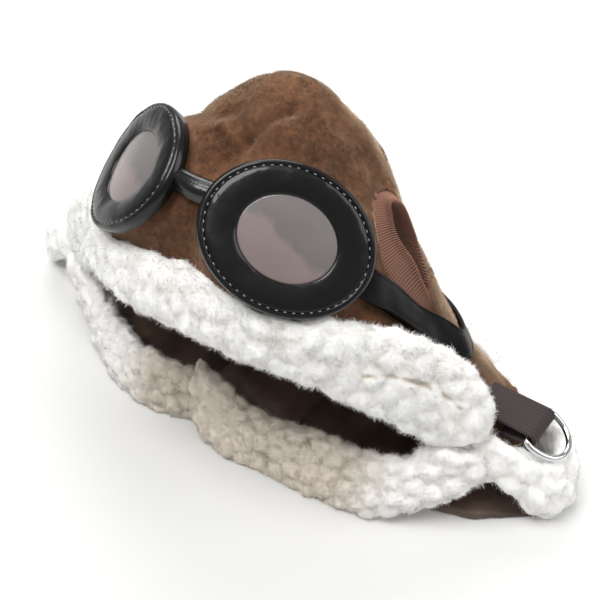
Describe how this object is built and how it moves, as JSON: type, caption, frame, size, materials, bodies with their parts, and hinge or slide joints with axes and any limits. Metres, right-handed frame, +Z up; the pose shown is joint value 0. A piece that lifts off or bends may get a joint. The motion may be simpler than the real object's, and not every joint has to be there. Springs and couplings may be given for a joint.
{
  "type": "pet aviator hat",
  "caption": "Pet's aviator hat: fleece hood with curly pile rims, knitted ear openings, goggles on a strap, lapped throat flaps and a D ring on a webbing loop.",
  "frame": {"origin": "middle of the bounding box's underside, on the surface that the hat lies on", "axes": "+Z up; -Y out of the face opening; +X to the right as seen from in front, the side of the D ring. Right and left in the node names are as seen from in front"},
  "size_m": [0.2442, 0.1142, 0.128],
  "materials": {
    "fleece": "brushed",
    "satin": "smooth",
    "white_pile": "curly pile",
    "beige_pile": "curly pile",
    "knit": "ribbed",
    "patent_leather": "glossy",
    "lens": "smooth",
    "webbing": "woven",
    "plated_steel": "polished"
  },
  "bodies": {
    "hat": {"crown": "fleece", "lining": "satin", "brim_trim": "white_pile", "chin_trim_right": "beige_pile", "chin_trim_left": "beige_pile", "neck_trim": "white_pile", "throat_flap_right": "satin", "throat_flap_left": "satin", "ear_cuff_right": "knit", "ear_cuff_left": "knit", "goggle_frame_right": "patent_leather", "goggle_frame_left": "patent_leather", "lens_right": "lens", "lens_left": "lens", "goggle_bridge": "patent_leather", "goggle_strap": "patent_leather", "ring_tab": "webbing"},
    "ring": {"d_ring": "plated_steel"}
  },
  "joints": [
    {"name": "ring_swing", "type": "hinge", "parent": "hat", "child": "ring", "pos_m": [0.10435, 0.00663, 0.0315], "axis": [0, -1, 0], "range_deg": [0, 150]}
  ]
}
